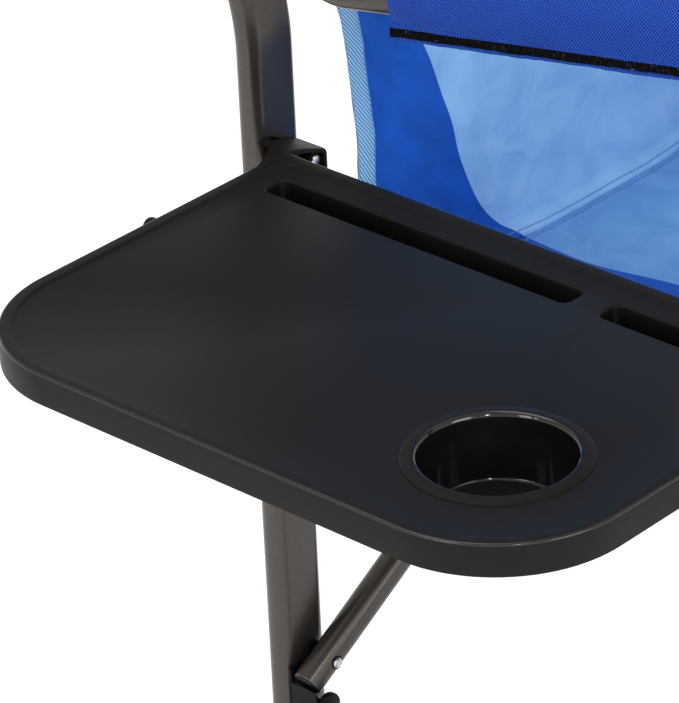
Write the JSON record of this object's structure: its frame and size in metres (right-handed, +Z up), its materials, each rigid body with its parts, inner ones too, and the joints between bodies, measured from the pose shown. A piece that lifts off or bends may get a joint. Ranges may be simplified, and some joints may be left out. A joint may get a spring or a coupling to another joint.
{
  "type": "folding director chair",
  "caption": "Folding director chair with flat-oval tube side frames, padded arms, cloth seat and back, scissor legs and a fold-down side tray with a cup holder.",
  "frame": {"origin": "on the floor, under the middle of the bounding box", "axes": "+Z up; the sitter faces -Y; the side tray is at -X, the sitter's right"},
  "size_m": [0.8586, 0.5844, 0.9073],
  "materials": {
    "frame_paint": "satin pewter powder coat",
    "fastener": "bright zinc plate",
    "pad_cloth": "coarse royal-blue oxford weave over foam",
    "royal_cloth": "royal-blue oxford weave",
    "sky_cloth": "light-blue oxford weave",
    "hook_tape": "black hook-and-loop tape",
    "tray_plastic": "near-black moulded, fine matte grain",
    "black_plastic": "black moulded"
  },
  "bodies": {
    "right_frame": {"arm_bracket_right": "black_plastic", "arm_pad_right": "pad_cloth", "back_sleeve_right": "royal_cloth", "foot_cap_front_right": "black_plastic", "foot_cap_rear_right": "black_plastic", "front_post_arm_right": "frame_paint", "hook_strip_right": "hook_tape", "pivot_block_front_right": "black_plastic", "pivot_block_rear_right": "black_plastic", "post_cap_right": "black_plastic", "rear_post_right": "frame_paint", "side_rail_right": "frame_paint", "back_panel": "sky_cloth", "strut_bracket_rear": "black_plastic", "strut_bracket_front": "black_plastic"},
    "left_frame": {"arm_bracket_left": "black_plastic", "arm_pad_left": "pad_cloth", "back_sleeve_left": "royal_cloth", "foot_cap_front_left": "black_plastic", "foot_cap_rear_left": "black_plastic", "front_post_arm_left": "frame_paint", "hook_strip_left": "hook_tape", "pivot_block_front_left": "black_plastic", "pivot_block_rear_left": "black_plastic", "post_cap_left": "black_plastic", "rear_post_left": "frame_paint", "side_rail_left": "frame_paint"},
    "legs_a": {"cross_bolt_front": "fastener", "cross_bolt_rear": "fastener", "cross_washer_front": "black_plastic", "cross_washer_rear": "black_plastic", "leg_a_front": "frame_paint", "leg_a_rear": "frame_paint", "leg_rivet_a_front": "fastener", "leg_rivet_a_rear": "fastener"},
    "legs_b": {"leg_b_front": "frame_paint", "leg_b_rear": "frame_paint", "leg_rivet_b_front": "fastener", "leg_rivet_b_rear": "fastener"},
    "right_rail": {"seat_rail_right": "frame_paint", "seat_sleeve_right": "royal_cloth", "seat_panel": "sky_cloth"},
    "left_rail": {"seat_rail_left": "frame_paint", "seat_sleeve_left": "royal_cloth"},
    "side_tray": {"strut_pin_front": "black_plastic", "strut_pin_rear": "black_plastic", "tray": "tray_plastic", "tray_bolt_front": "fastener", "tray_bolt_rear": "fastener"},
    "tray_strut": {"strut_arm_front": "frame_paint", "strut_arm_rear": "frame_paint", "strut_axle": "frame_paint"}
  },
  "joints": [
    {"name": "fold", "type": "hinge", "parent": "right_frame", "child": "legs_a", "pos_m": [-0.12325, -0.03768, 0.15], "axis": [0, -1, 0], "range_deg": [0, 35], "deforming": ["seat_panel", "back_panel"]},
    {"name": "cross", "type": "hinge", "parent": "legs_a", "child": "legs_b", "pos_m": [0.13875, -0.03768, 0.3031], "axis": [0, 1, 0], "range_deg": [0, 70]},
    {"name": "left_foot", "type": "hinge", "parent": "legs_b", "child": "left_frame", "pos_m": [0.40075, -0.03768, 0.15], "axis": [0, -1, 0], "range_deg": [0, 35]},
    {"name": "right_rail_turn", "type": "hinge", "parent": "legs_b", "child": "right_rail", "pos_m": [-0.05275, -0.03768, 0.415], "axis": [0, -1, 0], "range_deg": [0, 35]},
    {"name": "left_rail_turn", "type": "hinge", "parent": "legs_a", "child": "left_rail", "pos_m": [0.33025, -0.03768, 0.415], "axis": [0, 1, 0], "range_deg": [0, 35]},
    {"name": "tray_fold", "type": "hinge", "parent": "right_frame", "child": "side_tray", "pos_m": [-0.12025, -0.03768, 0.505], "axis": [0, -1, 0], "range_deg": [0, 80]},
    {"name": "strut_swing", "type": "hinge", "parent": "right_frame", "child": "tray_strut", "pos_m": [-0.12325, -0.03768, 0.385], "axis": [0, -1, 0], "range_deg": [0, 130]}
  ],
  "couplings": [
    {"joint": "cross", "follows": "fold", "ratio": 2},
    {"joint": "left_foot", "follows": "fold", "ratio": 1},
    {"joint": "right_rail_turn", "follows": "fold", "ratio": 1},
    {"joint": "left_rail_turn", "follows": "fold", "ratio": 1},
    {"joint": "strut_swing", "follows": "tray_fold", "ratio": 1.625}
  ]
}
